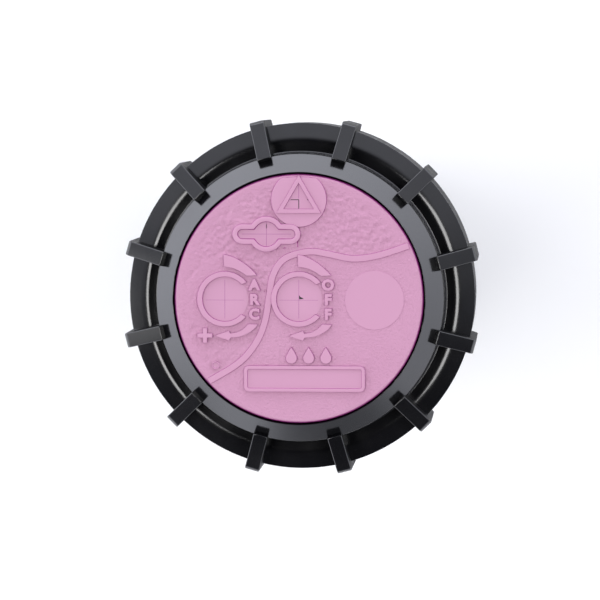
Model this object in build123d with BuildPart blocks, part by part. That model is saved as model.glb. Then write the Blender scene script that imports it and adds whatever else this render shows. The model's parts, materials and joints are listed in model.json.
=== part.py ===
from build123d import *
import math
import os

# Pop up sprinkler, a gear driven rotor with a threaded inlet. Millimetres, +Z up.
# The origin is the centre of the inlet's bottom face.

# Radial clearance of everything that turns or slides in a bore
fit = 0.08

# Inlet, 3/4 inch pipe thread
inlet_bore = 11.83
inlet_pitch = 1.814
inlet_groove = 1.3
inlet_depth = 18.0
boss_radius = 17.5
web_count = 8

# Case
seat_radius = 9.0
floor_top = 21.0
case_foot_radius = 26.2
case_top_radius = 27.2
case_rim = 175.0
bore_foot = 24.0
bore_top = 24.8
cone_top = 33.0
stop_ring_radius = 30.0
stop_ring_low = 152.0
stop_ring_high = 155.0
thread_core = 28.2
thread_pitch = 3.2
guide_rib_count = 4
guide_rib_width = 1.5
guide_rib_inner = 23.3

# Cap
opening_radius = 24.1
cap_foot = 160.0
cap_bore = 29.35
cap_radius = 33.5
cap_shelf = 183.9
cap_ceiling = 177.0
grip_count = 12
grip_offset = 14.2
grip_width = 2.8
grip_radius = 34.8

# Riser
riser_radius = 20.5
riser_bore = 18.5
riser_foot = 34.0
riser_top = 152.0
ring_low = 36.0
ring_high = 42.0
seal_lip = 20.55
spring_wire = 1.5
spring_radius = 22.0
spring_top = 173.2
spring_turns = 14
screen_rows = 6
screen_columns = 16
screen_pitch = 3.6
valve_spring_radius = 3.9
valve_spring_wire = 0.5
valve_spring_turns = 5

# Water drive and reversing lever
port_count = 8
blade_count = 16
rod_radius = 0.9
rod_y = -16.3

# Turret
neck_radius = 14.92
neck_bore = 12.5
turret_foot = 152.8
plate_low = 184.0
plate_high = 186.5
cover_radius = 23.8
cover_face = 189.5
relief = 0.5
stream_angle = 25.0
stream_height = 165.0
nozzle_radius = 5.5
orifice_radius = 2.25
flow_tube = 10.0
tube_wall = 1.5
socket_wall = 1.4
radius_screw_y = 18.8
arc_screw_x = -14.5
screw_head_top = 187.4

# Gears
gear_distance = 7.0
drive_module = 0.4375
drive_pinion = 8
drive_wheel = 24
drive_ring = 40
ring_outer = 10.6
arc_module = 0.5
arc_pinion = 10
arc_wheel = 48
arc_mesh_low = 156.0
arc_mesh_high = 159.0
pressure_angle = math.radians(20)
backlash_share = 0.2
addendum = 0.8
dedendum = 1.05
shaft_radius = 0.8
case_floor = 78.0
case_lid = 138.0


def turn(*outline, mode=Mode.ADD):
    """Revolve an outline of (radius, height) points about the Z axis."""
    with BuildSketch(Plane.XZ) as section:
        with BuildLine():
            Polyline(*outline, close=True)
        make_face()
    revolve(section.sketch, axis=Axis.Z, mode=mode)


def ring(inner, outer, low, high, mode=Mode.ADD):
    """Add a plain ring between two radii and two heights."""
    turn((inner, low), (outer, low), (outer, high), (inner, high), mode=mode)


def disc(radius, low, high, x=0.0, y=0.0, mode=Mode.ADD):
    """Add a round disc or pin standing at x, y."""
    with BuildSketch(Plane.XY.offset(low)) as round_face:
        with Locations((x, y)):
            Circle(radius)
    extrude(round_face.sketch, amount=high - low, mode=mode)


def fin(*outline, width, angle, mode=Mode.ADD):
    """Add a flat radial web with an outline of (radius, height) points."""
    radial = Plane.XZ.rotated((0, 0, angle))
    with BuildSketch(radial) as web:
        with BuildLine():
            Polyline(*outline, close=True)
        make_face()
    extrude(web.sketch, amount=width / 2, both=True, mode=mode)


def thread(radius, pitch, low, high, outline, mode=Mode.ADD):
    """Sweep a thread outline of (radial depth, axial place) points along a helix."""
    helix = Helix(pitch=pitch, height=high - low, radius=radius, center=(0, 0, low), mode=Mode.PRIVATE)
    with BuildSketch(Plane.XZ) as profile:
        with BuildLine():
            Polyline(*[(radius + depth, low + place) for depth, place in outline], close=True)
        make_face()
    sweep(profile.sketch, path=helix, is_frenet=True, mode=mode)


def flank(radius, teeth, module):
    """Half the angle of an involute tooth at a radius, in radians."""
    pitch_radius = module * teeth / 2
    base = pitch_radius * math.cos(pressure_angle)
    roll = math.acos(min(1.0, base / max(radius, base)))
    half = math.pi / (2 * teeth) * (1 - backlash_share)
    return half + math.tan(pressure_angle) - pressure_angle - (math.tan(roll) - roll)


def gear_face(teeth, module, phase=0.0):
    """Sketch an outside gear: a root disc with one tooth repeated around it."""
    pitch_radius = module * teeth / 2
    root = pitch_radius - dedendum * module
    tip = pitch_radius + addendum * module
    radii = [root - 0.1 * module, max(root, pitch_radius * math.cos(pressure_angle)), pitch_radius, tip]
    right = [(r * math.cos(flank(r, teeth, module)), -r * math.sin(flank(r, teeth, module))) for r in radii]
    left = [(x, -y) for x, y in reversed(right)]
    with BuildSketch(mode=Mode.PRIVATE) as tooth:
        with BuildLine():
            Polyline(*right, *left, close=True)
        make_face()
    with BuildSketch(mode=Mode.PRIVATE) as outline:
        Circle(root)
        with PolarLocations(0, teeth, start_angle=phase):
            add(tooth.sketch)
    return outline.sketch


def gear(teeth, module, low, high, phase=0.0, x=0.0, y=0.0, mode=Mode.ADD):
    """Add a spur gear at x, y with its first tooth at the phase angle in degrees."""
    with BuildSketch(Plane.XY.offset(low)) as toothed_face:
        with Locations((x, y)):
            add(gear_face(teeth, module, phase))
    extrude(toothed_face.sketch, amount=high - low, mode=mode)


def ring_gear(teeth, module, outer, low, high):
    """Add an inside gear whose first tooth space lies on +X."""
    pitch_radius = module * teeth / 2
    with BuildSketch(mode=Mode.PRIVATE) as space:
        half = [
            (r * math.cos(a), -r * math.sin(a))
            for r, a in (
                (pitch_radius - addendum * module - 0.1 * module, 0.66 * math.pi / teeth),
                (pitch_radius, 0.56 * math.pi / teeth),
                (pitch_radius + dedendum * module, 0.36 * math.pi / teeth),
            )
        ]
        with BuildLine():
            Polyline(*half, *[(x, -y) for x, y in reversed(half)], close=True)
        make_face()
    with BuildSketch(Plane.XY.offset(low)) as ring_face:
        Circle(outer)
        Circle(pitch_radius - addendum * module, mode=Mode.SUBTRACT)
        with PolarLocations(0, teeth):
            add(space.sketch, mode=Mode.SUBTRACT)
    extrude(ring_face.sketch, amount=high - low)


def coil(radius, wire, low, high, turns):
    """Add a helical wire spring whose wire stays between two heights."""
    travel = high - low - 2 * wire
    helix = Helix(
        pitch=travel / turns,
        height=travel,
        radius=radius,
        center=(0, 0, low + wire),
        mode=Mode.PRIVATE,
    )
    with BuildSketch(Plane(origin=helix @ 0, z_dir=helix % 0)) as wire_section:
        Circle(wire / 2)
    sweep(wire_section.sketch, path=helix, is_frenet=True)


def bar(x_low, x_high, y_low, y_high, z_low, z_high, mode=Mode.ADD):
    """Add a square block between two corners."""
    centre = ((x_low + x_high) / 2, (y_low + y_high) / 2)
    with BuildSketch(Plane.XY.offset(z_low)) as square_face:
        with Locations(centre):
            Rectangle(x_high - x_low, y_high - y_low)
    extrude(square_face.sketch, amount=z_high - z_low, mode=mode)


finished = {}


def keep(builder, label):
    """Label a finished piece and write it."""
    builder.part.label = label
    finished[label] = builder.part
    export_step(builder.part, f"parts/{label}.step")


os.makedirs("parts", exist_ok=True)

# ---------------------------------------------------------------- casing

with BuildPart() as body_case:
    turn(
        (inlet_bore, 0),
        (boss_radius - 0.8, 0),
        (boss_radius, 0.8),
        (boss_radius, inlet_depth + 2),
        (case_foot_radius, 31),
        (case_top_radius, stop_ring_low),
        (stop_ring_radius, stop_ring_low + 0.5),
        (stop_ring_radius, stop_ring_high),
        (thread_core, stop_ring_high),
        (thread_core, case_rim - 0.6),
        (thread_core - 0.6, case_rim),
        (bore_top, case_rim),
        (bore_foot, cone_top),
        (12.0, floor_top),
        (seat_radius, floor_top),
        (seat_radius, inlet_depth),
        (inlet_bore, inlet_depth),
    )
    for web in range(web_count):
        fin(
            (16.5, 3),
            (18.6, 3),
            (21.5, 6),
            (25.4, 30.4),
            (24.5, 31),
            (16.5, 21),
            width=2.0,
            angle=web * 360 / web_count,
        )
    for rib in range(guide_rib_count):
        fin(
            (guide_rib_inner, 34.5),
            (guide_rib_inner + 0.8, 34),
            (25.6, 34),
            (25.6, 150),
            (24.6, 150),
            (guide_rib_inner, 148),
            width=guide_rib_width,
            angle=45 + rib * 360 / guide_rib_count,
        )
    thread(
        thread_core,
        thread_pitch,
        158.5,
        171.3,
        [(-0.4, -0.95), (0, -0.95), (1.0, -0.45), (1.0, 0.45), (0, 0.95), (-0.4, 0.95)],
    )
    thread(
        inlet_bore,
        inlet_pitch,
        -inlet_pitch,
        inlet_depth - inlet_pitch,
        [(-0.5, -0.78), (inlet_groove, -0.08), (inlet_groove, 0.08), (-0.5, 0.78)],
        mode=Mode.SUBTRACT,
    )
keep(body_case, "body_case")

with BuildPart() as body_cap:
    turn(
        (cap_bore, cap_foot),
        (cap_radius - 0.6, cap_foot),
        (cap_radius, cap_foot + 0.6),
        (cap_radius, 178.6),
        (cap_radius - 0.4, 179.2),
        (31.2, 180.17),
        (30.7, 180.36),
        (30.1, 180.52),
        (29.4, 180.6),
        (28.5, 180.65),
        (28.05, 180.9),
        (27.75, 181.4),
        (27.6, 186.2),
        (opening_radius + 0.1, 189.6),
        (opening_radius, 189.5),
        (opening_radius, cap_shelf),
        (21.2, cap_shelf),
        (21.2, 181.4),
        (24.4, 181.4),
        (24.4, cap_ceiling),
        (cap_bore, cap_ceiling),
    )
    for grip in range(grip_count):
        fin(
            (26.9, 186.0),
            (27.35, 188.1),
            (34.2, 184.5),
            (grip_radius, 182.9),
            (grip_radius, 161.6),
            (33.2, cap_foot + 0.6),
            (32.0, 162.0),
            (32.0, 177.5),
            (26.9, 179.0),
            width=grip_width,
            angle=grip_offset + grip * 360 / grip_count,
        )
    thread(
        cap_bore,
        thread_pitch,
        163.3,
        172.9,
        [(0.4, -0.75), (0, -0.75), (-0.9, -0.25), (-0.9, 0.25), (0, 0.75), (0.4, 0.75)],
    )
keep(body_cap, "body_cap")

with BuildPart() as riser_seal:
    turn(
        (21.0, case_rim),
        (28.1, case_rim),
        (28.1, cap_ceiling),
        (24.2, cap_ceiling),
        (23.6, 181.2),
        (seal_lip, 181.2),
        (seal_lip, 179.6),
        (22.2, 178.6),
        (22.2, 177.2),
        (21.0, 176.2),
    )
keep(riser_seal, "riser_seal")

with BuildPart() as spring_seat:
    ring(20.9, 24.2, spring_top, 174.9)
keep(spring_seat, "spring_seat")

with BuildPart() as retract_spring:
    coil(spring_radius, spring_wire, ring_high, spring_top, spring_turns)
keep(retract_spring, "retract_spring")

# ---------------------------------------------------------------- riser

with BuildPart() as riser_tube:
    turn(
        (riser_bore, riser_foot),
        (22.4, riser_foot),
        (22.4, ring_low),
        (riser_radius, ring_low),
        (riser_radius, riser_top),
        (15.0, riser_top),
        (15.0, 148.0),
        (riser_bore, 148.0),
    )
keep(riser_tube, "riser_tube")

with BuildPart() as guide_ring:
    ring(riser_radius, 23.7, ring_low, ring_high)
    for notch in range(guide_rib_count):
        fin(
            (22.9, ring_low - 1),
            (25.0, ring_low - 1),
            (25.0, ring_high + 1),
            (22.9, ring_high + 1),
            width=guide_rib_width + 0.7,
            angle=45 + notch * 360 / guide_rib_count,
            mode=Mode.SUBTRACT,
        )
keep(guide_ring, "guide_ring")

with BuildPart() as filter_screen:
    turn(
        (1.5 + fit, 34.5),
        (14.0, 34.5),
        (15.5, 36.0),
        (15.5, 60.0),
        (18.4, 60.0),
        (18.4, 62.0),
        (14.3, 62.0),
        (14.3, 36.0),
        (3.5, 36.0),
        (3.5, 40.0),
        (1.5 + fit, 40.0),
    )
    # Windows run through both walls, and the stem guide is then made whole again.
    for column in range(screen_columns // 2):
        with BuildSketch(Plane.XZ.rotated((0, 0, column * 360 / screen_columns))):
            with GridLocations(0, screen_pitch, 1, screen_rows):
                with Locations((0, 48.0)):
                    Rectangle(3.4, 2.4)
        extrude(amount=20, both=True, mode=Mode.SUBTRACT)
    ring(1.5 + fit, 3.5, 35.0, 40.0)
keep(filter_screen, "filter_screen")

with BuildPart() as check_valve:
    turn(
        (0, 21.6),
        (4.8, 21.6),
        (4.8, 22.4),
        (10.6, 22.4),
        (10.6, 23.4),
        (3.0, 23.4),
        (1.5, 25.0),
        (1.5, 46.0),
        (0, 46.0),
    )
keep(check_valve, "check_valve")

with BuildPart() as check_valve_seal:
    turn((4.8, 21.4), (8.0, 21.4), (9.4, 21.05), (10.4, 21.05), (10.4, 22.4), (4.8, 22.4))
keep(check_valve_seal, "check_valve_seal")

with BuildPart() as check_valve_spring:
    coil(valve_spring_radius, valve_spring_wire, 23.4, 34.5, valve_spring_turns)
keep(check_valve_spring, "check_valve_spring")

with BuildPart() as flow_stator:
    ring(4.0, 18.4, 62.0, 66.0)
    ring(17.5, 18.4, 66.0, case_floor - 1)
    with BuildSketch(Plane.XY.offset(62.0)):
        with PolarLocations(10.5, port_count, start_angle=22.5):
            SlotOverall(4.4, 2.2)
    extrude(amount=4.0, mode=Mode.SUBTRACT)
    disc(rod_radius + fit, 62.0, 66.0, y=rod_y, mode=Mode.SUBTRACT)
keep(flow_stator, "flow_stator")

with BuildPart() as turbine:
    ring(shaft_radius, 7.0, 69.0, 75.0)
    for blade in range(blade_count):
        fin(
            (6.5, 69.5),
            (13.0, 69.5),
            (13.5, 74.5),
            (6.5, 74.5),
            width=0.9,
            angle=blade * 360 / blade_count,
        )
keep(turbine, "turbine")

with BuildPart() as turbine_shaft:
    disc(shaft_radius, 67.0, 118.0)
    gear(drive_pinion, drive_module, 81.0, 83.6)
keep(turbine_shaft, "turbine_shaft")

with BuildPart() as gear_case:
    turn(
        (shaft_radius + fit, case_floor),
        (15.0, case_floor),
        (15.0, case_lid - 2),
        (13.6, case_lid - 2),
        (13.6, case_floor + 2),
        (shaft_radius + fit, case_floor + 2),
    )
    disc(shaft_radius, case_floor, case_floor + 2, x=gear_distance, mode=Mode.SUBTRACT)
    # Three feet centre the gear case in the riser and stand on the stator's wall.
    for foot in range(3):
        fin(
            (14.5, case_floor - 1),
            (18.4, case_floor - 1),
            (18.4, 96.0),
            (14.5, 102.0),
            width=2.0,
            angle=90 + foot * 120,
        )
keep(gear_case, "gear_case")

with BuildPart() as gear_case_lid:
    ring(4.0 + fit, 15.0, case_lid - 2, case_lid)
    ring(11.5, 13.52, case_lid - 4, case_lid - 2)
keep(gear_case_lid, "gear_case_lid")

with BuildPart() as gear_pin:
    disc(shaft_radius, case_floor, 99.5, x=gear_distance)
keep(gear_pin, "gear_pin")

half_tooth = 180 / drive_wheel
stage_bore = shaft_radius + 0.06
# Each double gear: its centre, the height of its wheel and of its pinion.
stages = [
    (gear_distance, 81.2, 83.2, 87.4),
    (0.0, 84.6, 86.6, 91.2),
    (gear_distance, 88.4, 90.4, 97.4),
]
for number, (stage_x, wheel_low, wheel_high, pinion_high) in enumerate(stages, start=1):
    with BuildPart() as gear_stage:
        gear(drive_wheel, drive_module, wheel_low, wheel_high, phase=half_tooth, x=stage_x)
        gear(drive_pinion, drive_module, wheel_high, pinion_high, x=stage_x)
        disc(stage_bore, wheel_low, pinion_high, x=stage_x, mode=Mode.SUBTRACT)
    keep(gear_stage, f"gear_stage_{number}")

with BuildPart() as output_shaft:
    ring_gear(drive_ring, drive_module, ring_outer, 92.4, 100.2)
    turn(
        (0, 118.6),
        (0, 155.2),
        (2.5, 155.2),
        (2.5, 150.0),
        (4.0, 150.0),
        (4.0, 103.0),
        (ring_outer, 102.2),
        (ring_outer, 100.2),
        (stage_bore, 100.2),
        (stage_bore, 118.6),
    )
keep(output_shaft, "output_shaft")

# ---------------------------------------------------------------- reversing lever

with BuildPart() as trip_lever:
    disc(rod_radius, 62.0, 143.8, y=rod_y)
    bar(-1.0, 1.0, rod_y, -10.6, 142.2, 143.8)
    bar(-1.4, 1.4, rod_y, -8.4, 66.3, 67.3)
keep(trip_lever, "trip_lever")

# ---------------------------------------------------------------- turret bearing

with BuildPart() as bearing_washer:
    ring(15.3, 20.2, riser_top, riser_top + 0.7)
keep(bearing_washer, "bearing_washer")

with BuildPart() as thrust_washer:
    ring(15.0, 18.1, 146.9, 147.9)
keep(thrust_washer, "thrust_washer")

with BuildPart() as snap_ring:
    ring(14.0, 17.2, 145.5, 146.8)
    bar(-1.6, 1.6, -18.0, -13.0, 145.0, 147.0, mode=Mode.SUBTRACT)
keep(snap_ring, "snap_ring")

with BuildPart() as turret_o_ring:
    with BuildSketch(Plane.XZ) as cord_section:
        with Locations((14.25, 150.0)):
            Circle(0.65)
    revolve(cord_section.sketch, axis=Axis.Z)
keep(turret_o_ring, "turret_o_ring")

# ---------------------------------------------------------------- turret

stream = Plane(
    origin=(0, 0, stream_height),
    x_dir=(1, 0, 0),
    z_dir=(0, math.cos(math.radians(stream_angle)), math.sin(math.radians(stream_angle))),
)
with BuildPart() as turret_body:
    # The outer shell and the neck that turns in the riser.
    turn(
        (neck_bore, 144.4),
        (neck_radius, 144.4),
        (neck_radius, 145.4),
        (14.0, 145.4),
        (14.0, 146.8),
        (neck_radius, 146.8),
        (neck_radius, 149.3),
        (13.55, 149.3),
        (13.55, 150.7),
        (neck_radius, 150.7),
        (neck_radius, turret_foot),
        (riser_radius, turret_foot),
        (riser_radius, plate_low),
        (18.7, plate_low),
        (18.7, 155.2),
        (neck_bore, 155.2),
    )
    # The port plate with its hub, its water ports and the slot of the arc stop.
    ring(2.5, neck_bore, turret_foot, 155.2)
    with BuildSketch(Plane.XY.offset(turret_foot)):
        Circle(8.0)
        Circle(3.5, mode=Mode.SUBTRACT)
        with PolarLocations(0, 3, start_angle=30):
            with Locations((5.0, 0)):
                Rectangle(8.0, 1.6, mode=Mode.SUBTRACT)
    extrude(amount=155.2 - turret_foot, mode=Mode.SUBTRACT)
    with BuildSketch(Plane.XY.offset(turret_foot)):
        Circle(12.3)
        Circle(10.5, mode=Mode.SUBTRACT)
        with PolarLocations(11.5, 1, start_angle=110):
            Rectangle(4.0, 3.2, mode=Mode.SUBTRACT)
    extrude(amount=155.2 - turret_foot, mode=Mode.SUBTRACT)
    # The flow tube, closed by the bulkhead that guides the shut-off screw.
    ring(flow_tube - tube_wall, flow_tube, 155.2, 172.0)
    ring(1.8 + fit, flow_tube, 172.0, 174.0)
    # The nozzle socket leans up and out through the wall.
    with BuildSketch(stream.offset(5.0)):
        Circle(nozzle_radius + socket_wall)
    extrude(amount=14.5)
    with BuildSketch(stream.offset(-2.0)):
        Circle(nozzle_radius)
    extrude(amount=30.0, mode=Mode.SUBTRACT)
    # The recess in front of the nozzle, the water way and the shut-off screw's passage.
    bar(-6.0, 6.0, 17.3, 22.0, 164.0, plate_low + 1, mode=Mode.SUBTRACT)
    disc(flow_tube - tube_wall, 155.2, 172.0, mode=Mode.SUBTRACT)
    disc(1.8 + fit, 172.0, plate_low, mode=Mode.SUBTRACT)
keep(turret_body, "turret_body")

with BuildPart() as nozzle:
    with BuildSketch(stream.offset(9.5)):
        Circle(nozzle_radius - 0.05)
    extrude(amount=8.2)
    with BuildSketch(stream.offset(9.5)):
        Circle(4.4)
    extrude(amount=7.0, taper=15, mode=Mode.SUBTRACT)
    with BuildSketch(stream.offset(9.0)):
        Circle(orifice_radius)
    extrude(amount=12.0, mode=Mode.SUBTRACT)
keep(nozzle, "nozzle")

with BuildPart() as turret_plate:
    disc(23.2, plate_low, plate_high)
    disc(1.8 + fit, plate_low, plate_high, mode=Mode.SUBTRACT)
    disc(1.8 + fit, plate_low, plate_high, x=arc_screw_x, mode=Mode.SUBTRACT)
    disc(1.4 + fit, plate_low, plate_high, y=radius_screw_y, mode=Mode.SUBTRACT)
keep(turret_plate, "turret_plate")

with BuildPart() as turret_cover:
    turn(
        (0, plate_high),
        (23.2, plate_high),
        (23.2, plate_low),
        (cover_radius, plate_low),
        (cover_radius, cover_face - 0.8),
        (cover_radius - 0.8, cover_face),
        (0, cover_face),
    )
    # Raised marks: arc and shut-off rings, the nozzle marker, the smooth disc and the plaque.
    with BuildSketch(Plane.XY.offset(cover_face)):
        for ring_x in (-14.16, 0.0):
            with Locations((ring_x, 0)):
                Circle(5.3)
                Circle(4.3, mode=Mode.SUBTRACT)
        with Locations((14.45, 0)):
            Circle(5.65)
        with Locations((0, 17.2)):
            Circle(4.6)
        with Locations((1.1, -15.2)):
            RectangleRounded(22.0, 5.0, 1.2)
        with Locations((-6.19, 12.35)):
            SlotOverall(13.1, 4.0)
    extrude(amount=relief)
    # The keyhole that takes the lifting tool.
    with BuildSketch(Plane.XY.offset(cover_face - 2.0)):
        with Locations((-6.19, 12.35)):
            SlotOverall(10.8, 1.7)
            Circle(1.5)
    extrude(amount=2.0 + relief, mode=Mode.SUBTRACT)
    # The pockets for the three screws' heads, each with a narrow way in for a driver.
    for screw_x, screw_y in ((0, 0), (arc_screw_x, 0), (0, radius_screw_y)):
        disc(2.2, plate_high, 187.7, x=screw_x, y=screw_y, mode=Mode.SUBTRACT)
        disc(1.2, 187.7, cover_face + relief, x=screw_x, y=screw_y, mode=Mode.SUBTRACT)
keep(turret_cover, "turret_cover")

with BuildPart() as radius_screw:
    disc(1.4, 177.0, screw_head_top, y=radius_screw_y)
    bar(-0.25, 0.25, radius_screw_y - 1.5, radius_screw_y + 1.5, 186.6, 188.0, mode=Mode.SUBTRACT)
keep(radius_screw, "radius_screw")

with BuildPart() as arc_ring:
    gear(arc_wheel, arc_module, arc_mesh_low, arc_mesh_high)
    disc(flow_tube + fit, arc_mesh_low, arc_mesh_high, mode=Mode.SUBTRACT)
    # The finger hangs through the slot and strikes the reversing lever.
    bar(-1.0, 1.0, 10.75, 12.0, 144.2, arc_mesh_low)
    bar(-1.0, 1.0, 10.75, 11.4, arc_mesh_low - 1, arc_mesh_high)
keep(arc_ring, "arc_ring")

with BuildPart() as arc_screw:
    disc(1.6, 155.3, screw_head_top, x=arc_screw_x)
    gear(arc_pinion, arc_module, arc_mesh_low, arc_mesh_high, phase=18, x=arc_screw_x)
    bar(arc_screw_x - 2, arc_screw_x + 2, -0.3, 0.3, 186.4, 188.0, mode=Mode.SUBTRACT)
keep(arc_screw, "arc_screw")

with BuildPart() as shutoff_screw:
    disc(1.8, 156.4, screw_head_top)
    bar(-2, 2, -0.3, 0.3, 186.4, 188.0, mode=Mode.SUBTRACT)
keep(shutoff_screw, "shutoff_screw")

with BuildPart() as shutoff_valve:
    turn(
        (1.8 + fit, 161.4),
        (7.0, 161.4),
        (8.2, 162.2),
        (8.2, 163.4),
        (3.4, 163.4),
        (3.4, 165.4),
        (1.8 + fit, 165.4),
    )
keep(shutoff_valve, "shutoff_valve")

volume = sum(piece.volume for piece in finished.values())
print(f"{len(finished)} pieces, {volume / 1000:.1f} cm3")
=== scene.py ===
"""Pop up sprinkler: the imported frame, its visible shells modelled again and every finish made."""

import json
import logging
import math
from dataclasses import dataclass, field
from enum import Enum

import bpy
from mathutils import Matrix, Vector


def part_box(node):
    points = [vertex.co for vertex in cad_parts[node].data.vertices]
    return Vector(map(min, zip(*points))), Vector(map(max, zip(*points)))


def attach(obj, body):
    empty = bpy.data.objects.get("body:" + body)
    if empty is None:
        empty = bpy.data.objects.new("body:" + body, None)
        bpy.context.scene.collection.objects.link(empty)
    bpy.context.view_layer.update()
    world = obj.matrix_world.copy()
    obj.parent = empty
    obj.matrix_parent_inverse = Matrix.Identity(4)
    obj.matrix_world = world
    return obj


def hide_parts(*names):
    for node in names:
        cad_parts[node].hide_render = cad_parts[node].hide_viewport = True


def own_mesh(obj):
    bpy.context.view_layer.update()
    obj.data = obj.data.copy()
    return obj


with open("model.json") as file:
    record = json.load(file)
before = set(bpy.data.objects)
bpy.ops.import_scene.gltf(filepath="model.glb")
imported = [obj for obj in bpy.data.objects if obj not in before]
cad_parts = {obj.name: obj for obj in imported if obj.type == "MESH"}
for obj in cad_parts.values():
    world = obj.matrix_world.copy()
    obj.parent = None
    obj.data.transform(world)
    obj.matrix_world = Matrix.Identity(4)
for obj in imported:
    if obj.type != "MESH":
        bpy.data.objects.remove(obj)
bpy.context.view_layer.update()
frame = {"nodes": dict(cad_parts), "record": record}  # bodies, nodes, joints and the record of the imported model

MM = 0.001
Point = tuple[float, float]
Colour = tuple[float, float, float]
Ends = tuple[float, float, float, float]
Piece = bpy.types.Object
log = logging.getLogger("sprinkler")


# ------------------------------------------------------------------ bench work


def clear() -> None:
    """Deselect everything."""
    bpy.ops.object.select_all(action="DESELECT")


def hold(piece: Piece) -> None:
    """Select one piece alone and make it active."""
    clear()
    piece.select_set(True)
    bpy.context.view_layer.objects.active = piece


def edit(piece: Piece, pick: str = "SELECT") -> None:
    """Open a piece for editing.

    Args:
        piece: The piece to open.
        pick: SELECT or DESELECT, for what is selected at the start.
    """
    hold(piece)
    bpy.ops.object.mode_set(mode="EDIT")
    bpy.ops.mesh.select_all(action=pick)


def close() -> None:
    """Leave edit mode."""
    bpy.ops.object.mode_set(mode="OBJECT")


def loop_piece(name: str, points: list[tuple[float, float, float]]) -> Piece:
    """Start a piece as a closed loop of vertices along an outline.

    Args:
        name: The piece's name.
        points: The outline's corners in millimetres.

    Returns:
        A mesh of one wire loop.
    """
    clear()
    bpy.ops.mesh.primitive_circle_add(vertices=len(points), radius=MM, fill_type="NOTHING")
    piece = bpy.context.object
    piece.name = piece.data.name = name
    for vertex, point in zip(piece.data.vertices, points):
        vertex.co = Vector(point) * MM
    return piece


def apply(piece: Piece, kind: str, **settings: object) -> None:
    """Add a modifier with its settings and apply it."""
    hold(piece)
    modifier = piece.modifiers.new(kind.lower(), kind)
    for key, value in settings.items():
        setattr(modifier, key, value)
    bpy.ops.object.modifier_apply(modifier=modifier.name)


def soften(piece: Piece, width: float, segments: int = 2, angle: float = 30.0) -> None:
    """Round the edges that are sharper than an angle by a width in millimetres."""
    apply(
        piece,
        "BEVEL",
        width=width * MM,
        segments=segments,
        limit_method="ANGLE",
        angle_limit=math.radians(angle),
        use_clamp_overlap=True,
    )


def smooth(piece: Piece, angle: float = 35.0) -> None:
    """Shade a piece smooth, keep the edges sharper than an angle and the broad faces flat."""
    hold(piece)
    bpy.ops.object.shade_smooth_by_angle(angle=math.radians(angle))
    apply(piece, "WEIGHTED_NORMAL", keep_sharp=True, weight=50)


def spun(name: str, profile: list[Point], steps: int, solid: bool = True) -> Piece:
    """Turn a profile about the Z axis.

    Args:
        name: The piece's name.
        profile: Points of (radius, height) in millimetres.
        steps: Facets around the axis.
        solid: Whether the profile is a closed loop off the axis. An open one begins and
            ends on the axis.

    Returns:
        A closed mesh.
    """
    piece = loop_piece(name, [(radius, 0.0, height) for radius, height in profile])
    if not solid:
        last = len(profile) - 1
        edit(piece, "DESELECT")
        close()
        for wire in piece.data.edges:
            wire.select = set(wire.vertices) == {0, last}
        bpy.ops.object.mode_set(mode="EDIT")
        bpy.ops.mesh.select_mode(type="EDGE")
        bpy.ops.mesh.delete(type="EDGE")
        bpy.ops.mesh.select_mode(type="VERT")
        close()
    edit(piece)
    bpy.ops.mesh.spin(steps=steps, angle=math.tau, center=(0, 0, 0), axis=(0, 0, 1))
    bpy.ops.mesh.select_all(action="SELECT")
    bpy.ops.mesh.remove_doubles(threshold=0.004 * MM)
    bpy.ops.mesh.normals_make_consistent(inside=False)
    close()
    return piece


def raised(
    name: str,
    outline: list[Point],
    low: float,
    high: float,
    edge: float = 0.16,
    border: float = 0.0,
    depth: float = 0.0,
) -> Piece:
    """Raise a flat mark from an outline, and sink its field inside a border.

    Args:
        name: The mark's name.
        outline: Corners of (x, y) in millimetres.
        low: Height of its hidden foot.
        high: Height of its top.
        edge: Width of the rounded edge.
        border: Width of the border left standing, or 0 for a plain mark.
        depth: How far the field inside the border is sunk.

    Returns:
        A closed mesh.
    """
    piece = loop_piece(name, [(x, y, low) for x, y in outline])
    edit(piece)
    bpy.ops.mesh.edge_face_add()
    bpy.ops.mesh.extrude_region_move(TRANSFORM_OT_translate={"value": (0, 0, (high - low) * MM)})
    if border:
        bpy.ops.mesh.inset(thickness=border * MM, depth=0.0)
        bpy.ops.mesh.extrude_region_move(TRANSFORM_OT_translate={"value": (0, 0, -depth * MM)})
    bpy.ops.mesh.select_all(action="SELECT")
    bpy.ops.mesh.normals_make_consistent(inside=False)
    close()
    if edge:
        soften(piece, edge)
    return piece


def joined(pieces: list[Piece]) -> Piece:
    """Join pieces into the first of them and return it."""
    clear()
    for piece in pieces:
        piece.select_set(True)
    bpy.context.view_layer.objects.active = pieces[0]
    bpy.ops.object.join()
    return pieces[0]


def arc(centre: Point, radius: float, start: float, end: float, steps: int) -> list[Point]:
    """Points along an arc, from a start to an end angle in degrees."""
    turns = [math.radians(start + (end - start) * step / steps) for step in range(steps + 1)]
    return [(centre[0] + radius * math.cos(t), centre[1] + radius * math.sin(t)) for t in turns]


def flowing(points: list[Point], steps: int = 6) -> list[Point]:
    """A smooth line through points, as a Catmull-Rom spline."""
    ends = [points[0], *points, points[-1]]
    line = []
    for a, b, c, d in zip(ends, ends[1:], ends[2:], ends[3:]):
        for step in range(steps):
            t = step / steps
            weights = (
                -t / 2 + t * t - t**3 / 2,
                1 - 2.5 * t * t + 1.5 * t**3,
                t / 2 + 2 * t * t - 1.5 * t**3,
                (t**3 - t * t) / 2,
            )
            line.append(
                tuple(sum(w * p[axis] for w, p in zip(weights, (a, b, c, d))) for axis in (0, 1))
            )
    return [*line, points[-1]]


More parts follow.
